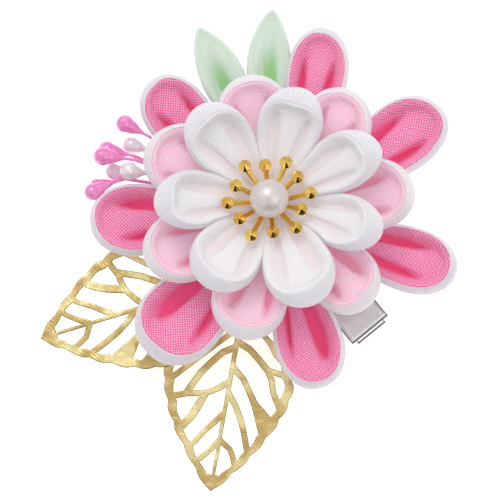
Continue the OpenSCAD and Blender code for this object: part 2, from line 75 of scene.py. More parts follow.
# Heights above the rose tier: the upper tiers, the cap's underside, and the pearl's and balls' middles
BLUSH_Z, WHITE_Z = 3.668, 8.389
CAP_Z, PEARL_Z, BALL_Z = 12.131, 16.931, 15.193
PEARL_MID = (-0.8, 0.8, 0.0)  # the pearl and its cap, off the flower's middle
FLOOR_Z = cad_box[0].z / MM

# One row a tier: length, width, height, curl, rise in degrees, seat, height of the seat, middle,
# the outline (powers at the root and tip, shares of the belly and foot), whether its petals press
# on one another, then the inside: height of the ridge, width of the pleat, depth of the lip's
# groove, lean of the sides, and height of the valleys
TIERS = {
    "white": dict(length=22.5, width=14.0, height=7.0, curl=3.6, rise=11, seat=2.8, base=WHITE_Z,
                  middle=(-0.72, 1.28), form=(1.0, 0, 0.64, 0.0), pressed=True,
                  ridge=0.95, pleat=0.95, groove=0.2, side=0.65, bed=0.35),
    "blush": dict(length=23.5, width=15.6, height=7.0, curl=1.9, rise=7, seat=6.0, base=BLUSH_Z,
                  middle=(1.2, -0.2), form=(0.9, 0, 0.64, 0.3), pressed=False,
                  ridge=0.88, pleat=1.0, groove=1.6, side=1, bed=0.12),
    "rose": dict(length=27.5, width=14.4, height=8.0, curl=1.8, rise=0, seat=12.0, base=0.0,
                 middle=(0, 0), form=(0.75, -0.1, 0.66, 0.3), pressed=False,
                 ridge=0.9, pleat=1.0, groove=1.5, side=1, bed=0.0),
    "leaf": dict(length=29.0, width=10.4, height=5.0, curl=1.0, rise=0, seat=14.0, base=0.0,
                 middle=(0, 0), form=(2.8, 0.55, 0.58, 0.7), pressed=False,
                 ridge=0.6, pleat=0.7, groove=0.5, side=1, bed=0.0),
}
# Petal rows: azimuth, turn, length, left, right, curl, lift, then the ridge's sideways place
ROWS = {
    "white": [
        (130, 0, 0.99, 0.97, 0.97, 1, 0.05, 0.05),
        (75, -2, 0.97, 1.02, 0.9, 1.05, 0, 0.0),
        (20, 4, 1.03, 0.98, 0.73, 1.05, 0.15, 0.0),
        (-14, -5, 1, 0.82, 0.82, 0.95, 0, 0.05),
        (-68, 0, 0.99, 1.04, 1.06, 0.85, 0.05, -0.05),
        (-126, -1, 0.93, 1.03, 1.04, 0.8, 0, 0.1),
        (180, 4, 0.98, 0.78, 0.96, 0.95, 0.08, 0.0)],
    "blush": [
        (106, -1, 1, 0.98, 1.04, 1, 0, 0.0),
        (57, 0, 1, 0.95, 1, 0.9, 0, 0.0),
        (9, -3, 0.97, 1.03, 0.88, 1, 0, 0.0),
        (-48, 0, 0.94, 0.95, 0.93, 1, 0, 0.0),
        (-106, -2, 0.98, 0.96, 1.06, 1.25, 0, 0.05),
        (201, 0, 1.05, 0.98, 0.97, 1, 0, 0.0),
        (154, 1, 1.08, 0.99, 1.1, 1, 0, 0.0)],
    "rose": [
        (139, -8, 0.96, 1, 0.93, 1.2, 0, 0.0),
        (64, 15, 1.04, 0.9, 0.94, 1.2, 0, 0.0),
        (21, 13, 1.07, 1.17, 0.94, 1, 0, 0.05),
        (-21, 2, 1.02, 0.93, 0.98, 1, 0, 0.0),
        (-79, 5, 0.96, 1.03, 0.98, 0.8, 0, -0.15),
        (-129, -3, 1.02, 1.22, 1.26, 1.7, 0, 0.1),
        (183, 0, 0.98, 1.08, 1.04, 0.9, 0, 0.05)],
    "leaf": [
        (107, 8, 1.0, 0.88, 0.96, 1, 0, 0.0),
        (94, -5, 1.02, 1.04, 0.8, 1, 0, 0.0)],
}
# Azimuth, and reach as a share of STAMEN_REACH
STAMENS = [(126, 1), (97, 0.84), (66, 0.98), (39, 0.86), (9, 0.99), (-17, 0.79),
           (-47, 0.92), (-84, 0.78), (-117, 0.95), (-148, 0.84), (184, 1), (157, 0.87)]
# A stamen's head from its lowest point up: radius and height as shares of HEAD_R
HEAD = [(0, -0.55), (0.45, -0.5), (0.82, -0.28), (1.0, 0.0), (0.96, 0.17), (0, 0.83)]
HEAD_SIDES = 10

# Rows across a petal's wall: inset as shares of the lean and of the cloth, height as a
# share of the wall. The outer ribbon ends in the groove, where the inner one begins
OUTER_WALL = [
    (0.9, 1.2, 0.0), (0.7, 0.45, 0.0), (0.52, 0.1, 0.035), (0.34, 0, 0.13), (0.12, 0, 0.3), (0, 0, 0.5),
    (0.1, 0, 0.7), (0.3, 0, 0.85), (0.55, 0, 0.95), (0.74, 0.01, 0.995), (0.8, 0.06, 1.008),
    (0.84, 0.12, 1.0)]
INNER_WALL = [(0.86, 0.16, 0.978), (0.87, 0.2, 0.99), (0.9, 0.27, 1.0), (0.93, 0.4, 0.99)]
# Inside a petal, from the lip to the spine: share of the way out, height of the wall there
WALL_IN = [(1.0, 1.0), (0.94, 0.96), (0.87, 0.88), (0.81, 0.76), (0.75, 0.57), (0.68, 0.32), (0.61, 0.14),
           (0.52, 0.04), (0.4, 0.0), (0.0, 0.0)]
# Along a petal, from the root to the tip: height of the pleat, its half width as a share of
# the petal's, and the height of the valleys beside it
PLEAT = [(0.0, 0.95, 0.3, 0.6), (0.25, 0.86, 0.27, 0.3), (0.45, 0.8, 0.25, 0.1), (0.65, 0.75, 0.25, 0.03),
         (0.78, 0.73, 0.25, 0.02), (0.88, 0.74, 0.28, 0.02), (0.93, 0.78, 0.4, 0.03),
         (0.965, 0.85, 0.8, 0.08), (1.0, 0.92, 1.5, 0.2)]
INSIDE_ROWS = 40  # rings of points from the lip to the spine
BEHIND = 3.0  # the valleys fan out from a point this far behind the root
AROUND = 128  # points in a ring
SPAN = 2  # steps between two wall rows


def smooth(t):
    t = np.clip(t, 0, 1)
    return t * t * (3 - 2 * t)


def turn_z(deg):
    return Matrix.Rotation(math.radians(deg), 4, "Z")


def lay_matrix():
    """The flower is drawn level round its own middle, and then laid on its back, as in the CAD."""
    az = math.radians(CLIP_AZ)
    lean = Matrix.Rotation(math.radians(REST_LEAN), 4, Vector((-math.sin(az), math.cos(az), 0)))
    return lean @ turn_z(CLIP_AZ) @ Matrix.Translation([-g for g in GRIP]) @ turn_z(-CLIP_AZ)


LAY = lay_matrix()
TO_ROW = Matrix.Scale(MM, 4) @ LAY


# Mesh helpers
def new_object(name, points, faces, placed=TO_ROW, uv=None, slots=None, materials=(), attributes=None,
               weld=0.0):
    mesh = bpy.data.meshes.new(name)
    m = np.array(placed)
    p = np.asarray(points, float) @ m[:3, :3].T + m[:3, 3]
    mesh.from_pydata(p.tolist(), [], faces)
    for mat in materials:
        mesh.materials.append(mat)
    if slots is not None:
        mesh.polygons.foreach_set("material_index", slots)
    if uv is not None:
        layer = mesh.uv_layers.new(name="cloth")
        layer.data.foreach_set("uv", np.asarray(uv, float).ravel())
    for key, values in (attributes or {}).items():
        layer = mesh.attributes.new(key, "FLOAT", "POINT")
        layer.data.foreach_set("value", np.asarray(values, float).ravel())
    mesh.polygons.foreach_set("use_smooth", [True] * len(mesh.polygons))
    if weld:
        bm = bmesh.new()
        bm.from_mesh(mesh)
        bmesh.ops.remove_doubles(bm, verts=bm.verts, dist=weld)
        bmesh.ops.recalc_face_normals(bm, faces=bm.faces)
        bm.to_mesh(mesh)
        bm.free()
    mesh.update()
    obj = bpy.data.objects.new(name, mesh)
    bpy.context.scene.collection.objects.link(obj)
    return obj


def through(rows, steps):
    """A smooth curve through rows of points, sampled steps times between each two rows."""
    r = np.asarray(rows, float)
    before, after = np.concatenate([r[:1], r[:-1]]), np.concatenate([r[1:], r[-1:]])
    slope = (after - before) / 2
    out = []
    for i in range(len(r) - 1):
        for k in range(steps):
            t = k / steps
            a, b = 2 * t**3 - 3 * t**2 + 1, t**3 - 2 * t**2 + t
            c, d = -2 * t**3 + 3 * t**2, t**3 - t**2
            out.append(a * r[i] + b * slope[i] + c * r[i + 1] + d * slope[i + 1])
    out.append(r[-1])
    return np.array(out)


# Material helpers
class Nodes:
    """Short words for building a material's nodes."""

    def __init__(self, name):
        self.mat = bpy.data.materials.new(name)
        self.mat.use_nodes = True
        self.tree = self.mat.node_tree
        self.tree.nodes.clear()
        self.out = self.tree.nodes.new("ShaderNodeOutputMaterial")

    def node(self, kind, **values):
        n = self.tree.nodes.new(kind)
        for key, value in values.items():
            setattr(n, key, value)
        return n

    def put(self, socket, value):
        if isinstance(value, bpy.types.NodeSocket):
            self.tree.links.new(value, socket)
        else:
            socket.default_value = value

    def math(self, op, a, b=None):
        n = self.node("ShaderNodeMath", operation=op)
        self.put(n.inputs[0], a)
        if b is not None:
            self.put(n.inputs[1], b)
        return n.outputs[0]

    def remap(self, value, a, b, c=0.0, d=1.0):
        """A smooth step from c to d as the value goes from a to b."""
        n = self.node("ShaderNodeMapRange", interpolation_type="SMOOTHSTEP")
        for i, v in enumerate((value, a, b, c, d)):
            self.put(n.inputs[i], v)
        return n.outputs[0]

    def mix(self, share, a, b):
        n = self.node("ShaderNodeMix", data_type="RGBA", blend_type="MIX")
        self.put(n.inputs[0], share)
        self.put(n.inputs[6], a if not isinstance(a, tuple) else (*a, 1))
        self.put(n.inputs[7], b if not isinstance(b, tuple) else (*b, 1))
        return n.outputs[2]

    def noise(self, coords, scale, detail=3.0, rough=0.5):
        n = self.node("ShaderNodeTexNoise")
        self.put(n.inputs["Vector"], coords)
        n.inputs["Scale"].default_value = scale
        n.inputs["Detail"].default_value = detail
        n.inputs["Roughness"].default_value = rough
        return n.outputs["Fac"]

    def split(self, vector):
        n = self.node("ShaderNodeSeparateXYZ")
        self.put(n.inputs[0], vector)
        return n.outputs

    def object_mm(self):
        """Place in the object's own frame, in millimetres."""
        n = self.node("ShaderNodeVectorMath", operation="SCALE")
        self.put(n.inputs[0], self.node("ShaderNodeTexCoord").outputs["Object"])
        n.inputs["Scale"].default_value = 1000
        return n.outputs[0]

    def bump(self, height, distance, strength=1.0, normal=None):
        n = self.node("ShaderNodeBump")
        n.inputs["Strength"].default_value = strength
        n.inputs["Distance"].default_value = distance
        self.put(n.inputs["Height"], height)
        if normal is not None:
            self.put(n.inputs["Normal"], normal)
        return n.outputs[0]

    def soft_edge(self, radius):
        """A normal that rounds the edges, so that they catch the light."""
        n = self.node("ShaderNodeBevel", samples=8)
        n.inputs["Radius"].default_value = radius
        return n.outputs[0]

    def finish(self, **values):
        shader = self.node("ShaderNodeBsdfPrincipled")
        for key, value in values.items():
            if isinstance(value, tuple):
                value = (*value, 1)
            self.put(shader.inputs[key.replace("_", " ")], value)
        self.tree.links.new(shader.outputs[0], self.out.inputs["Surface"])
        return self.mat


def ribbon_cloth(name, ground, thread_highlight, crease_shade, pitch, shown, rib, fill=0.0):
    """Woven ribbon: the threads' tops as painted highlight dots on the ground colour, and painted shade in a
    deeper colour down in the folds, where the dots fade.
    The cloth's own map is in millimetres. pitch is a thread and its gap, shown how plainly the
    painted highlight dots show, rib the share of straight ribs in the weave, and fill widens the dots."""
    n = Nodes(name)
    u, v, _ = n.split(n.node("ShaderNodeUVMap", uv_map="cloth").outputs[0])
    wobble = n.math("MULTIPLY", n.noise(n.object_mm(), 0.8, 2), 0.5)
    turn = 2 * math.pi / pitch
    warp = n.math("SINE", n.math("MULTIPLY", n.math("ADD", u, wobble), turn))
    weft = n.math("SINE", n.math("MULTIPLY", n.math("ADD", v, wobble), turn))
    dots = n.math("MULTIPLY", warp, weft)
    weave = n.math("ADD", n.math("MULTIPLY", warp, rib), n.math("MULTIPLY", dots, 1 - rib))
    fold_shade = n.node("ShaderNodeAttribute", attribute_name="fold_shade").outputs["Fac"]
    broad = n.noise(n.object_mm(), 0.22, 3)
    # painted highlight on the threads' tops, fading where the folds carry painted shade
    lit = n.remap(weave, -fill, 0.7 - fill)
    fade = n.remap(fold_shade, 0.1, 0.75, shown, shown * 0.08)
    base = n.mix(n.math("MULTIPLY", lit, fade), ground, thread_highlight)
    # painted shade: a deeper colour down in the folds and grooves
    base = n.mix(n.remap(fold_shade, 0.25, 1.0, 0.0, 1.0), base, crease_shade)
    # faint random blotches in the same deeper colour
    base = n.mix(n.remap(broad, 0.35, 0.65, 0.0, 0.08), base, crease_shade)
    fine = n.bump(weave, 0.00005, 0.6)
    soft = n.bump(n.noise(n.object_mm(), 0.45, 2), 0.0006, 0.18, fine)
    rough = n.remap(dots, -0.8, 0.9, 0.85, 0.62)
    # A faint emission in the cloth's own colour: a painted glow, though the cloth is no lamp
    return n.finish(Base_Color=base, Roughness=rough, Sheen_Weight=0.25, Sheen_Roughness=0.5,
                    Emission_Color=base, Emission_Strength=0.12,
                    Specular_IOR_Level=0.18, Normal=soft)


def pearl_skin(name, tint, edge, metal=0.3, rough=0.22, glow=0.0, bloom=0.0):
    """Nacre or pearl lacquer: a soft body colour with a clouded, half-metallic gloss. bloom is
    the pale sheen towards its outline, and glow a painted glow: a faint emission in the body colour."""
    n = Nodes(name)
    place = n.object_mm()
    cloud = n.noise(place, 0.45, 4, 0.6)
    base = n.mix(n.remap(cloud, 0.3, 0.7, 0.0, 0.5), tint, edge)
    skin = n.bump(n.noise(place, 2.2, 4), 0.00003, 0.2)
    return n.finish(Base_Color=base, Roughness=n.remap(cloud, 0.2, 0.8, rough * 0.85, rough * 1.3),
                    Metallic=metal, Coat_Weight=0.5, Coat_Roughness=0.15, Sheen_Weight=bloom,
                    Sheen_Roughness=0.35, Emission_Color=base,
                    Emission_Strength=glow, Specular_IOR_Level=0.6, Normal=skin)


def struck_gold(name, colour, deep, hatch, rough, wave=0.0, edge=0.0003, hatch_depth_and_edge_shade=0.8):
    """Gold plate with the fine hatching of its stamping. hatch is the pitch of the lines in mm,
    the last argument their depth, wave the sheet's unevenness, and edge the radius of its rounded edges,
    which get a thin line of painted shade."""
    n = Nodes(name)
    place = n.object_mm()
    x, y, _ = n.split(place)
    bend = n.math("MULTIPLY", n.noise(place, 0.25, 2), 3.0)
    across = n.math("ADD", n.math("ADD", n.math("MULTIPLY", x, 0.8), n.math("MULTIPLY", y, 0.6)), bend)
    lines = n.math("SINE", n.math("MULTIPLY", across, 2 * math.pi / hatch))
    grit = n.noise(place, 3.5, 4, 0.65)
    tone = n.noise(place, 0.16, 3)
    base = n.mix(n.remap(tone, 0.41, 0.59, 0.0, 0.5 + hatch_depth_and_edge_shade), colour, deep)
    base = n.mix(n.remap(lines, -0.2, 1.0, 0.0, 0.45 * hatch_depth_and_edge_shade), base, deep)
    base = n.mix(n.remap(grit, 0.45, 0.7, 0.0, 0.5 * hatch_depth_and_edge_shade), base, (1.0, 0.92, 0.7))
    rounded = n.soft_edge(edge)
    turned = n.node("ShaderNodeVectorMath", operation="DOT_PRODUCT")
    n.put(turned.inputs[0], rounded)
    n.put(turned.inputs[1], n.node("ShaderNodeNewGeometry").outputs["True Normal"])
    # painted shade: a thin dark line along the rounded edges
    painted_edge_shade = n.remap(turned.outputs["Value"], 0.88, 0.995, 0.95, 0.0)
    base = n.mix(painted_edge_shade, base, tuple(c * 0.25 for c in deep))
    relief = n.math("ADD", n.math("MULTIPLY", lines, hatch_depth_and_edge_shade), n.math("MULTIPLY", grit, min(1, hatch_depth_and_edge_shade * 1.5)))
    fine = n.bump(relief, 0.00004, 0.6, rounded)
    broad = n.bump(n.noise(place, 0.13, 2), 0.004, wave, fine)
    return n.finish(Base_Color=base, Metallic=1.0, Normal=broad,
                    Roughness=n.remap(grit, 0.3, 0.7, rough * 0.8, rough * 1.3))


def bright_steel(name, colour, rough, grain, tip=99.0, half=99.0, line=0.32, glow=0.0):
    """Plated steel with a drawn grain. tip and half are the strip's reach and half width in the
    clip's own directions: along them run a painted highlight line and a dark line of painted shade at the
    edge, which is line wide at the tip. Upright faces get a lighter painted shade, and glow is a painted
    glow: emission in the base colour."""
    n = Nodes(name)
    place = n.object_mm()
    x, y, _ = n.split(place)
    az = math.radians(CLIP_AZ)
    side = n.math("ADD", n.math("MULTIPLY", x, -math.sin(az)), n.math("MULTIPLY", y, math.cos(az)))
    along = n.math("ADD", n.math("MULTIPLY", x, math.cos(az)), n.math("MULTIPLY", y, math.sin(az)))
    streak = n.node("ShaderNodeCombineXYZ")
    n.put(streak.inputs[0], n.math("MULTIPLY", along, 0.06))
    n.put(streak.inputs[1], n.math("MULTIPLY", side, 2.4))
    lines = n.noise(streak.outputs[0], 2.5, 5, 0.7)
    worn = n.noise(place, 0.5, 4)
    base = n.mix(n.remap(worn, 0.35, 0.7, 0.0, 0.3), colour, tuple(c * 0.8 for c in colour))
    out = n.math("ABSOLUTE", side)
    front_in, side_in = 0.62, 0.9  # the painted highlight lines, in from the edges
    front_line = n.remap(n.math("ABSOLUTE", n.math("SUBTRACT", along, tip - front_in)), 0.14, 0.26, 1.0, 0.0)
    side_line = n.remap(n.math("ABSOLUTE", n.math("SUBTRACT", out, half - side_in)), 0.1, 0.22, 1.0, 0.0)
    side_line = n.math("MULTIPLY", side_line, n.remap(along, tip - 5, tip - 1, 0.35, 1.0))
    upright = n.math("ABSOLUTE", n.split(n.node("ShaderNodeNewGeometry").outputs["True Normal"])[2])
    # painted shade: a dark line along the outer edges and the tip
    hatch_depth_and_edge_shade = n.math("MAXIMUM", n.remap(out, half - 0.28, half - 0.14),
                 n.remap(along, tip - line, tip - line + 0.12))
    level = n.remap(upright, 0.05, 0.25)  # 0 on an upright face, which is plated too and gets a lighter painted shade instead
    hatch_depth_and_edge_shade = n.math("MAXIMUM", n.math("MULTIPLY", hatch_depth_and_edge_shade, level),
                 n.math("MULTIPLY", n.math("SUBTRACT", 1.0, level), 0.4))
    # painted highlight: the bright lines, kept off the shaded edge, made white and less metallic
    painted_highlight = n.math("MULTIPLY", n.math("MAXIMUM", front_line, side_line), n.math("SUBTRACT", 1.0, hatch_depth_and_edge_shade))
    base = n.mix(painted_highlight, n.mix(n.math("MULTIPLY", hatch_depth_and_edge_shade, 0.92), base, (0.03, 0.03, 0.03)), (0.97, 0.97, 0.97))
    return n.finish(Base_Color=base, Metallic=n.math("SUBTRACT", 1.0, n.math("MULTIPLY", painted_highlight, 0.8)),
                    Roughness=n.remap(lines, 0.3, 0.7, rough * 0.7, rough * 1.4),
                    Emission_Color=base, Emission_Strength=glow,
                    Normal=n.bump(lines, 0.00002, grain, n.soft_edge(0.0003)))


def felt_cloth(name, colour):
    """Matted wool: short fibres every way."""
    n = Nodes(name)
    place = n.object_mm()
    fibres = n.noise(place, 3.2, 6, 0.75)
    clumps = n.noise(place, 0.6, 3)
    base = n.mix(n.remap(fibres, 0.35, 0.7, 0.0, 0.35), colour, tuple(c * 0.72 for c in colour))
    base = n.mix(n.remap(clumps, 0.4, 0.7, 0.0, 0.15), base, (0.95, 0.94, 0.92))
    fuzz = n.bump(n.math("ADD", fibres, n.math("MULTIPLY", clumps, 0.5)), 0.0002, 0.8)
    return n.finish(Base_Color=base, Roughness=n.remap(fibres, 0.3, 0.7, 0.85, 1.0), Sheen_Weight=0.5,
                    Sheen_Roughness=0.5, Specular_IOR_Level=0.15, Normal=fuzz)


def make_materials():
    # Each ribbon: ground colour, its threads' painted highlight colour, and the painted shade colour of its
    # folds
    return {
        "white_out": ribbon_cloth("white_ribbon", (0.73, 0.715, 0.75), (0.9, 0.885, 0.92),
                                  (0.72, 0.64, 0.68), pitch=0.41, shown=0.6, rib=0.8),
        "white_in": ribbon_cloth("white_ribbon_inside", (0.79, 0.77, 0.80), (0.94, 0.93, 0.945),
                                 (0.79, 0.71, 0.73), pitch=0.7, shown=0.75, rib=0.15),
        "blush_out": ribbon_cloth("blush_outer_ribbon", (0.76, 0.72, 0.76), (0.91, 0.875, 0.91),
                                  (0.76, 0.62, 0.68), pitch=0.41, shown=0.6, rib=0.8),
        "blush_in": ribbon_cloth("blush_inner_ribbon", (0.93, 0.57, 0.71), (0.99, 0.88, 0.93),
                                 (0.90, 0.40, 0.53), pitch=0.72, shown=0.9, rib=0.1),
        "rose_out": ribbon_cloth("rose_outer_ribbon", (0.72, 0.66, 0.71), (0.87, 0.81, 0.86),
                                 (0.76, 0.58, 0.66), pitch=0.41, shown=0.6, rib=0.8),
        "rose_in": ribbon_cloth("rose_inner_ribbon", (0.80, 0.13, 0.33), (0.98, 0.60, 0.79),
                                (0.88, 0.12, 0.29), pitch=0.72, shown=0.82, rib=0.1, fill=0.25),
        "leaf_out": ribbon_cloth("leaf_outer_ribbon", (0.64, 0.74, 0.66), (0.82, 0.88, 0.83),
                                 (0.48, 0.72, 0.48), pitch=0.41, shown=0.7, rib=0.7),
        "leaf_in": ribbon_cloth("leaf_inner_ribbon", (0.60, 0.72, 0.60), (0.80, 0.88, 0.80),
                                (0.30, 0.58, 0.24), pitch=0.72, shown=0.8, rib=0.1),
        "pearl": pearl_skin("pearl_nacre", (0.81, 0.76, 0.76), (0.76, 0.62, 0.57), metal=0.33, rough=0.34),
        "pearl_bead": pearl_skin("pearl_lacquer", (0.88, 0.83, 0.86), (0.80, 0.70, 0.73), metal=0.22,
                                 glow=0.05, bloom=0.25),
        "pink_bead": pearl_skin("pink_lacquer", (0.92, 0.31, 0.63), (0.82, 0.12, 0.45), metal=0.25,
                                rough=0.24, glow=0.06, bloom=0.5),
        "gold_sheet": struck_gold("gold_sheet_hatched", (1.0, 0.84, 0.42), (0.65, 0.45, 0.15), hatch=0.5,
                                  rough=0.27, wave=0.2, edge=0.0004, hatch_depth_and_edge_shade=0.5),
        "gold_cast": struck_gold("gold_cast_bright", (1.0, 0.70, 0.17), (0.88, 0.40, 0.06), hatch=0.5,
                                 rough=0.13, edge=0.00006, hatch_depth_and_edge_shade=0.15),
        "clip_steel": bright_steel("clip_plated_steel", (0.73, 0.69, 0.69), rough=0.16, grain=0.12,
                                   tip=CLIP_TIP, half=CLIP_HALF),
        # The jaw: a painted highlight strip with a painted shade line at its outer edge, and a painted glow
        "clip_inside": bright_steel("clip_inner_steel", (0.98, 0.97, 0.97), rough=0.32, grain=0.2,
                                    tip=JAW_TIP, half=JAW_HALF, line=0.42, glow=0.4),
        "spring_steel": bright_steel("clip_spring_steel", (0.66, 0.66, 0.67), rough=0.25, grain=0.4),
        "felt": felt_cloth("felt_white_wool", (0.84, 0.82, 0.79)),
    }


# Folded petals and leaves
def press_together(x, y, kind, i):
    """Petals of the pressed tier share out the room near the middle, wall against wall."""
    tier, rows = TIERS[kind], ROWS[kind]
    az, turn = rows[i][0], math.radians(rows[i][1])
    half = {1: rows[i][3], -1: rows[i][4]}
    X = tier["seat"] + x * math.cos(turn) - y * math.sin(turn)
    Y = x * math.sin(turn) + y * math.cos(turn)
    for side in (1, -1):
        gaps = [((r[0] - az) * side) % 360 for r in rows]
        j = min((k for k in range(len(rows)) if k != i), key=lambda k: gaps[k])
        theirs = rows[j][4] if side > 0 else rows[j][3]
        limit = math.radians(gaps[j] * half[side] / (half[side] + theirs))
        edge = np.tan(limit) * X - 0.06 + 4 * smooth((X - 12) / 7)
        near = side * Y > 0
        Y = np.where(near, side * (side * Y + edge - np.sqrt((side * Y - edge) ** 2 + 0.2)) / 2, Y)
        room = np.maximum(np.tan(limit) * X - 0.1 - side * Y, 0) * (1 - smooth((X - 9) / 5))
        Y = np.where(near, Y + side * room * smooth(side * Y / 0.8), Y)
    X = X - tier["seat"]
    return X * math.cos(turn) + Y * math.sin(turn), -X * math.sin(turn) + Y * math.cos(turn)


def folded_piece(name, kind, i, outer, inner):
    """One ribbon petal: the outer ribbon's wall, its lip, the inner ribbon's lip and wall, and a
    pleat along the middle with a valley on either side. Everything is a ring of points about the
    petal's outline, from the foot's spine up the wall, over the lip and in to the inside's spine."""
    tier, row = TIERS[kind], ROWS[kind][i]
    az, turn, length, left, right, curl, lift, shift = row
    rng = np.random.default_rng(100 * list(TIERS).index(kind) + i)
    root, tip, belly_share, foot_share = tier["form"]
    petal_length, height = tier["length"] * length, tier["height"]
    phi = 2 * np.pi * np.arange(AROUND) / AROUND
    c, s = np.cos(phi), np.sin(phi)
    belly = petal_length * belly_share
    reach = np.where(c > 0, petal_length - belly, belly) * c
    half = np.where(s > 0, left, right) * tier["width"] / 2
    power = np.where(c > 0, tip, root)
    x, y = belly + reach, half * np.sign(s) * np.abs(s) ** (1 + power)
    if tier["pressed"]:
        x, y = press_together(x, y, kind, i)
    foot = belly + reach * np.where(c > 0, foot_share, ROOT_FOOT)
    phase = rng.uniform(0, 2 * np.pi, 6)
    rim = height * (INNER_SHARE + (1 - INNER_SHARE) * smooth(x / petal_length))
    rim = rim * (1 + 0.02 * np.sin(2 * phi + phase[0]) + 0.014 * np.sin(5 * phi + phase[1]))
    side_lean = SIDE_CURL * tier["side"]
    lean = side_lean + (tier["curl"] * (curl if kind != "leaf" else 1) - side_lean) * np.maximum(0, c) ** 2
    lean = lean + 0.12 * np.sin(3 * phi + phase[2]) * (1 + c) / 2
    lean = lean * (0.2 + 0.8 * smooth(x / (0.5 * petal_length)))
    cloth = CLOTH * (0.4 + 0.6 * smooth(x / (0.5 * petal_length)))
    reach_out = np.hypot(x - foot, y) + 1e-9

    def inward(a, b, z):
        """The outline moved in by shares of the lean and of the cloth, at a share of the wall's height."""
        k = np.maximum(0.25, 1 - (a * lean + b * cloth) / reach_out)
        return np.stack([foot + (x - foot) * k, y * k, z * rim], 1)

    lip = inward(*INNER_WALL[-1])
    lip_r, lip_t = np.hypot(lip[:, 0] + BEHIND, lip[:, 1]), np.arctan2(lip[:, 1], lip[:, 0] + BEHIND)
    widest = {side: np.max(lip_t * side) for side in (1, -1)}
    order = np.argsort(lip_t[c > -0.35])
    far_t, far_r = lip_t[c > -0.35][order], lip_r[c > -0.35][order]

    def pocket_row(k):
        """A ring inside the lip: the wall's slope, or the pleat where that stands higher."""
        px, py = foot + (lip[:, 0] - foot) * k, lip[:, 1] * k
        if kind == "leaf":  # its fold lies to the left of the middle
            py = py + (1 - k) * 1.7 * np.sin(np.pi * foot / petal_length)
        t, r = np.arctan2(py, px + BEHIND), np.hypot(px + BEHIND, py)
        out = np.clip(r / np.interp(t, far_t, far_r), 0, 1)
        t = np.where(t > 0, t / widest[1], t / widest[-1])
        t = t - shift * smooth(out * 2) * (1 - smooth((out - 0.85) * 7))
        level = height * (INNER_SHARE + (1 - INNER_SHARE) * smooth(px / petal_length)) - CLOTH
        stations = [p[0] for p in PLEAT]
        ridge, breadth, valley = (np.interp(out, stations, [p[m] for p in PLEAT]) for m in (1, 2, 3))
        width = breadth * tier["pleat"]
        wall_in = WALL_IN[::-1]
        wall = (lip[:, 2] - CLOTH) * np.interp(k, [p[0] for p in wall_in], [p[1] for p in wall_in])
        top = level * ridge * tier["ridge"]
        soft = np.interp(out, [0, 0.5, 0.75, 1], [0.1, 0.1, 0.14, 0.3])
        side_of = smooth((width + soft - np.abs(t)) / soft)
        low = level * (tier["bed"] + (1 - tier["bed"]) * valley) * tier["ridge"]
        pleat = low + (top - low) * side_of * (1 - 0.12 * np.clip(np.abs(t) / width, 0, 1) ** 2)
        z = (wall + pleat + np.sqrt((wall - pleat) ** 2 + 0.06 * min(1, (1 - k) * 8))) / 2
        # deep is the painted shade in the valleys beside the pleat, fading towards the tip
        deep = np.minimum(smooth((0.92 - k) / 0.4), 1 - smooth(side_of * 1.5))
        deep = deep * (1 - 0.75 * smooth((out - 0.74) / 0.24))
        if kind == "leaf":  # a pointed petal has this one fold, with the face beyond it flatter
            slope = k ** 1.3 * 0.92 + 0.08 * smooth(k)
            edge = ((1 + k) * lip[:, 2] + (1 - k) * lip[-np.arange(AROUND), 2]) / 2 - CLOTH
            z = edge * (slope + (0.97 - slope) * 0.85 * smooth((out - 0.6) / 0.35))
            # painted shade down the leaf's fold, crisp on its one side
            deep = (1 - smooth((t - 0.42) / 0.07)) * (1 - smooth((-t - 0.15) / 0.75))
            deep = deep * (1 - smooth((out - 0.55) / 0.45))
        return np.stack([px, py, CLOTH + z], 1), deep * (1 - 0.4 * (1 - smooth(out * 3)))

    groove = tier["groove"]
    outer_rows = [np.stack([foot, 0 * y, 0 * y], 1), np.stack([foot + (x - foot) * 0.4, y * 0.4, 0 * y], 1)]
    outer_rows += [inward(*r) for r in OUTER_WALL]
    inner_rows = [inward(a, b, 1 - (1 - z) * groove) for a, b, z in INNER_WALL]
    rows = through(outer_rows + inner_rows, SPAN)
    hidden = len(rows)
    pocket = [pocket_row(1 - (m + 1) / INSIDE_ROWS) for m in range(INSIDE_ROWS)]
    rows = np.concatenate([rows, [p[0] for p in pocket]])
    split_at = (len(outer_rows) - 1) * SPAN + 1
    rings = len(rows)

    steps = np.linalg.norm(np.diff(rows, axis=0), axis=2)
    flatter = np.linalg.norm(np.diff(rows, axis=0) * (1, 1, 0.45), axis=2)
    inside = np.concatenate([np.cumsum(flatter[::-1], axis=0)[::-1], np.zeros((1, AROUND))])
    up = np.concatenate([np.zeros((1, AROUND)), np.cumsum(steps, axis=0)])
    rim_ring = rows[len(outer_rows) * SPAN]
    rim_steps = np.linalg.norm(np.diff(rim_ring, axis=0, append=rim_ring[:1]), axis=1)
    around = np.concatenate([[0], np.cumsum(rim_steps)])
    away = np.stack([x - foot, y], 1) / reach_out[:, None]
    flat = np.stack([foot[None] + away[None, :, 0] * inside, away[None, :, 1] * inside], 2)

    # Painted shade for the cloth: in the valleys, low on the outer wall near its foot, and a thin line in the
    # groove between the two ribbons
    fold_shade = np.concatenate([np.zeros((hidden, AROUND)), [p[1] for p in pocket]])
    low = np.zeros((rings, AROUND))
    for r in range(split_at):
        low[r] = np.clip(1 - rows[r, :, 2] / (0.3 * height), 0, 1) * 0.5
    fold_shade = np.maximum(fold_shade, low)
    fold_shade[split_at:split_at + 2] = np.clip(tier["groove"] - 0.6, 0, 1)

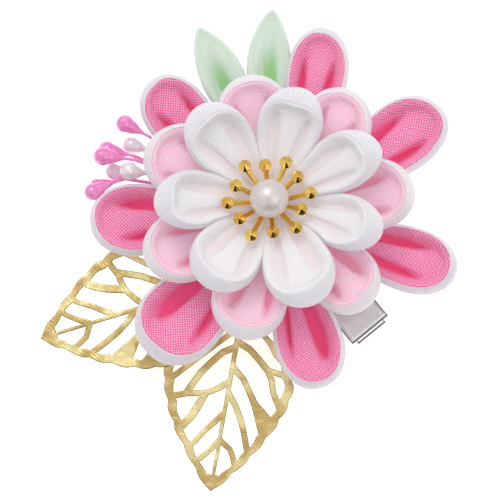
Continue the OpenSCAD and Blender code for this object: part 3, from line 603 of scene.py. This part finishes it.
    faces, uv, slots = [], [], []
    for r in range(rings - 1):
        for j in range(AROUND):
            k = (j + 1) % AROUND
            faces.append((r * AROUND + j, r * AROUND + k, (r + 1) * AROUND + k, (r + 1) * AROUND + j))
            if r < split_at:
                uv += [(around[j], up[r, j]), (around[j + 1], up[r, k]),
                       (around[j + 1], up[r + 1, k]), (around[j], up[r + 1, j])]
            else:
                uv += [tuple(flat[r, j]), tuple(flat[r, k]), tuple(flat[r + 1, k]), tuple(flat[r + 1, j])]
            slots.append(0 if r < split_at else 1)
    place = (TO_ROW @ Matrix.Translation((*tier["middle"], 0)) @ turn_z(az)
             @ Matrix.Translation((tier["seat"], 0, tier["base"] + lift * height)) @ turn_z(turn)
             @ Matrix.Rotation(-math.radians(tier["rise"]), 4, "Y"))
    obj = new_object(name, rows.reshape(-1, 3), faces, place, uv, slots, (outer, inner),
                     {"fold_shade": fold_shade.ravel()}, weld=1e-7)
    return obj


def make_petals(mats):
    nodes = {"white": "white_petal_", "blush": "blush_petal_", "rose": "rose_petal_", "leaf": "green_leaf_"}
    for kind, rows in ROWS.items():
        for i in range(len(rows)):
            node = nodes[kind] + str(i + 1)
            piece = folded_piece("ribbon_" + node, kind, i, mats[kind + "_out"], mats[kind + "_in"])
            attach(piece, "ornament")
            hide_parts(node)


# Stamens
def revolve(profile, sides):
    """Points and faces of a closed shape turned about Z from (radius, height) pairs, pole to pole."""
    points, faces = [(0, 0, profile[0][1])], []
    for r, z in profile[1:-1]:
        points += [(r * math.cos(2 * math.pi * k / sides), r * math.sin(2 * math.pi * k / sides), z)
                   for k in range(sides)]
    points.append((0, 0, profile[-1][1]))
    last = len(points) - 1
    for k in range(sides):
        faces.append((0, 1 + (k + 1) % sides, 1 + k))
        for ring in range(len(profile) - 3):
            a = 1 + ring * sides
            faces.append((a + k, a + (k + 1) % sides, a + sides + (k + 1) % sides, a + sides + k))
        a = 1 + (len(profile) - 3) * sides
        faces.append((a + k, a + (k + 1) % sides, last))
    return points, faces


def tube(path, widths, thicks, up, sides=12):
    """A bar along a path with its own width and thickness at each point."""
    path = [Vector(p) for p in path]
    points, faces = [], []
    for i, p in enumerate(path):
        ahead = (path[min(i + 1, len(path) - 1)] - path[max(i - 1, 0)]).normalized()
        across = ahead.cross(up).normalized()
        over = across.cross(ahead).normalized()
        for k in range(sides):
            a = 2 * math.pi * k / sides
            c, s = math.cos(a), math.sin(a)
            points.append(p + across * (widths[i] / 2 * math.copysign(abs(c) ** 0.7, c))
                          + over * (thicks[i] / 2 * math.copysign(abs(s) ** 0.7, s)))
    for i in range(len(path) - 1):
        for k in range(sides):
            a, b = i * sides + k, i * sides + (k + 1) % sides
            faces.append((a, b, b + sides, a + sides))
    faces.append(tuple(range(sides))[::-1])
    faces.append(tuple((len(path) - 1) * sides + k for k in range(sides)))
    return [tuple(p) for p in points], faces


def make_stamens(mats):
    rng = np.random.default_rng(7)
    points, faces, smooth_faces = [], [], []

    def add(p, f, matrix=Matrix(), soft=True):
        start = len(points)
        points.extend(tuple(matrix @ Vector(q)) for q in p)
        faces.extend(tuple(start + k for k in g) for g in f)
        smooth_faces.extend([soft] * len(f))

    cap = [(0, CAP_Z), (2.2, CAP_Z), (3.0, CAP_Z + 0.1), (3.2, CAP_Z + 0.35), (3.0, CAP_Z + 0.62),
           (2.2, CAP_Z + 0.7), (0.6, CAP_Z + 0.74), (0.55, PEARL_Z - 0.4), (0, PEARL_Z - 0.3)]
    add(*revolve(cap, 48))
    up = Vector((0, 0, 1))
    for az, share in STAMENS:
        az, r = math.radians(az), share * STAMEN_REACH
        out = Vector((math.cos(az), math.sin(az), 0))
        ball = out * r + up * BALL_Z
        base = out * 2.3 + up * (CAP_Z + 0.5)
        knee = out * (r * 0.62) + up * (CAP_Z + 1.25)
        bend = [base, base.lerp(knee, 0.5) + up * 0.1, knee, knee.lerp(ball, 0.5) - up * 0.15,
                ball - out * 0.5 - up * 0.3]
        add(*tube(bend, ARM_WIDTHS, ARM_THICKS, up))
        lean = Matrix.Rotation(rng.uniform(0.02, 0.12), 4, Vector((-math.sin(az), math.cos(az), 0)))
        spin = turn_z(-108 + rng.uniform(-9, 9))
        head = [(r * HEAD_R, z * HEAD_R) for r, z in HEAD]
        add(*revolve(head, HEAD_SIDES), Matrix.Translation(ball) @ lean @ spin, soft=False)
    obj = new_object("gold_stamens", points, faces, TO_ROW @ Matrix.Translation(PEARL_MID),
                     materials=(mats["gold_cast"],))
    obj.data.polygons.foreach_set("use_smooth", smooth_faces)
    bevel = obj.modifiers.new("worn_edges", "BEVEL")
    bevel.width, bevel.segments, bevel.limit_method, bevel.angle_limit = 0.00004, 2, "ANGLE", math.radians(18)
    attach(obj, "ornament")
    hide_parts("stamen_cap")


# Felt
def make_felt(mats):
    rng = np.random.default_rng(3)
    around = 160
    top, bottom = -0.1, -FELT_T - 0.1
    section = [(0.0, bottom), (0.35, bottom + 0.02), (0.7, bottom - 0.01), (0.93, bottom + 0.02),
               (0.985, bottom + 0.12), (1.0, bottom + 0.45), (1.0, top - 0.4), (0.985, top - 0.1),
               (0.93, top - 0.01), (0.6, top), (0.0, top)]
    phase = rng.uniform(0, 2 * np.pi, 4)
    points, faces = [], []
    for share, z in section:
        for k in range(around):
            a = 2 * math.pi * k / around
            ragged = 1 + (0.004 * math.sin(5 * a + phase[0]) + 0.003 * math.sin(11 * a + phase[1])
                          + 0.0025 * math.sin(37 * a + phase[2])) * (share > 0.9)
            points.append((FELT_R * share * ragged * math.cos(a), FELT_R * share * ragged * math.sin(a), z))
    for r in range(len(section) - 1):
        for k in range(around):
            a, b = r * around + k, r * around + (k + 1) % around
            faces.append((a, b, b + around, a + around))
    disc = new_object("felt_disc", points, faces, materials=(mats["felt"],), weld=1e-7)
    # The core is a stack of three pads: middle, radius, and lowest and highest point of each
    pads = (((0, 0), 11.2, -0.2, BLUSH_Z - 0.1), (TIERS["blush"]["middle"], 5.6, 0.0, WHITE_Z - 0.1),
            (TIERS["white"]["middle"], 2.4, 0.0, CAP_Z - 0.1))
    core_points, core_faces = [], []
    for mid, radius, low, high in pads:
        profile = [(0, low), (radius * 0.9, low), (radius, low + 0.3), (radius * 1.01, (low + high) / 2),
                   (radius, high - 0.4), (radius * 0.9, high - 0.05), (0, high)]
        p, f = revolve(profile, 64)
        start = len(core_points)
        core_points += [(q[0] + mid[0], q[1] + mid[1], q[2]) for q in p]
        core_faces += [tuple(start + k for k in g) for g in f]
    core = new_object("felt_core", core_points, core_faces, materials=(mats["felt"],))
    for piece in (disc, core):
        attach(piece, "ornament")
        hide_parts("felt_base")


# Carried-over metal and beads
def dress_cad(mats):
    for subpart in frame["record"]["subparts"]:
        obj, slot = frame["nodes"][subpart["node"]], subpart["material_slot"]
        if slot in mats and not obj.hide_render:
            obj.data.materials.clear()
            obj.data.materials.append(mats["clip_inside" if subpart["node"] == "clip_jaw" else slot])


# Studio
WORLD_STRENGTH = 0.76
HORIZON_SHARE = 0.35
# Direction of each dark card, the cosines where its shade begins and is full, and how dark it is
DARK_CARDS = (((0.0, -0.93, 0.36), 0.86, 0.95, 0.97), ((0.04, -0.41, 0.91), 0.965, 0.992, 0.8),
              ((0.62, -0.76, 0.12), 0.93, 0.98, 0.95))
VIEW_FROM = (0.04, -0.12, 1)  # from the flower to the camera, 83 degrees above its plane
EYE = (-5.393, -7.720, 480.0)  # the camera in mm: to the right, up, and away
FOCAL_PX, PHOTO_PX, SENSOR_MM = 2269.5, 500, 36.0
FLOOR_HALF, WALL_R, WALL_TOP = 1.5, 1.45, 1.5  # metres


def make_world():
    """An even pale studio, darker towards the horizon, with dark cards for metal to mirror."""
    world = bpy.data.worlds.new("studio")
    bpy.context.scene.world = world
    world.use_nodes = True
    tree = world.node_tree
    tree.nodes.clear()
    new = tree.nodes.new

    def remap(value, *ends):
        step = new("ShaderNodeMapRange")
        step.interpolation_type = "SMOOTHSTEP"
        tree.links.new(value, step.inputs[0])
        for k, end in enumerate(ends, 1):
            step.inputs[k].default_value = end
        return step.outputs[0]

    def times(a, b):
        product = new("ShaderNodeMath")
        product.operation = "MULTIPLY"
        tree.links.new(a, product.inputs[0])
        if isinstance(b, float):
            product.inputs[1].default_value = b
        else:
            tree.links.new(b, product.inputs[1])
        return product.outputs[0]

    way = new("ShaderNodeTexCoord").outputs["Generated"]
    height = new("ShaderNodeSeparateXYZ")
    tree.links.new(way, height.inputs[0])
    light = remap(height.outputs[2], 0.0, 0.4, HORIZON_SHARE, 1.0)
    for direction, start, end, dark in DARK_CARDS:
        dot = new("ShaderNodeVectorMath")
        dot.operation = "DOT_PRODUCT"
        tree.links.new(way, dot.inputs[0])
        dot.inputs[1].default_value = Vector(direction).normalized()
        light = times(light, remap(dot.outputs["Value"], start, end, 1.0, 1 - dark))
    back = new("ShaderNodeBackground")
    back.inputs["Color"].default_value = (1, 1, 1, 1)
    tree.links.new(times(light, WORLD_STRENGTH), back.inputs["Strength"])
    tree.links.new(back.outputs[0], new("ShaderNodeOutputWorld").inputs["Surface"])


def area_light(name, place, size, watts):
    """A soft square lamp that looks at the flower."""
    lamp = bpy.data.lights.new(name, "AREA")
    lamp.size, lamp.energy = size, watts
    obj = bpy.data.objects.new(name, lamp)
    bpy.context.scene.collection.objects.link(obj)
    obj.location = place
    obj.rotation_euler = (-Vector(place)).to_track_quat("-Z", "Y").to_euler()


def stage_piece(name, points, faces, mat):
    mesh = bpy.data.meshes.new(name)
    mesh.from_pydata(points, [], faces)
    mesh.materials.append(mat)
    obj = bpy.data.objects.new(name, mesh)
    bpy.context.scene.collection.objects.link(obj)
    return obj


def make_floor():
    n = Nodes("pale_floor")
    grain = n.noise(n.object_mm(), 0.5, 3)
    base = n.mix(n.remap(grain, 0.3, 0.7, 0.0, 0.3), (0.93, 0.93, 0.93), (0.9, 0.9, 0.9))
    mat = n.finish(Base_Color=base, Roughness=0.9, Specular_IOR_Level=0.1, Emission_Color=(1.0, 1.0, 1.0),
                   Emission_Strength=0.54)
    corners = [(x * FLOOR_HALF, y * FLOOR_HALF, FLOOR_Z * MM)
               for x, y in ((-1, -1), (1, -1), (1, 1), (-1, 1))]
    stage_piece("floor", corners, [(0, 1, 2, 3)], mat)


def make_backdrop():
    """A round pale wall behind the low views. Only the camera sees it, so it leaves the light as it is."""
    mat = Nodes("pale_wall").finish(Base_Color=(0.93, 0.93, 0.93), Roughness=0.9, Specular_IOR_Level=0.1,
                                    Emission_Color=(1.0, 1.0, 1.0), Emission_Strength=0.9)
    around = 64
    turns = [2 * math.pi * i / around for i in range(around)]
    points = [(WALL_R * math.cos(a), WALL_R * math.sin(a), z)
              for z in (FLOOR_Z * MM, WALL_TOP) for a in turns]
    faces = [((i + 1) % around, i, i + around, (i + 1) % around + around) for i in range(around)]
    wall = stage_piece("backdrop", points, faces, mat)
    wall.visible_diffuse = wall.visible_glossy = wall.visible_transmission = wall.visible_shadow = False


def make_camera():
    """The photograph's view: 83 degrees above the flower's plane, a long lens."""
    back = Vector(VIEW_FROM).normalized()
    up = (Vector((0, 1, 0)) - back * back.y).normalized()
    right = up.cross(back)
    m = Matrix((right, up, back)).transposed().to_4x4()
    m.translation = right * EYE[0] + up * EYE[1] + back * EYE[2]
    cam = bpy.data.cameras.new("camera")
    cam.sensor_width, cam.lens = SENSOR_MM, FOCAL_PX / PHOTO_PX * SENSOR_MM
    cam.clip_start, cam.clip_end = 0.01, 10
    obj = bpy.data.objects.new("camera", cam)
    bpy.context.scene.collection.objects.link(obj)
    placed = LAY @ m
    placed.translation = placed.translation * MM
    obj.matrix_world = placed
    bpy.context.scene.camera = obj


def light_up():
    make_world()
    area_light("key", (-0.1, 0.33, 0.6), 0.36, 1.15)
    area_light("fill", (0.4, -0.2, 0.45), 0.4, 0.42)
    scene = bpy.context.scene
    scene.view_settings.view_transform = "Standard"
    scene.view_settings.look = "None"


make_camera()
materials = make_materials()
make_petals(materials)
make_stamens(materials)
make_felt(materials)
dress_cad(materials)
make_floor()
make_backdrop()
light_up()
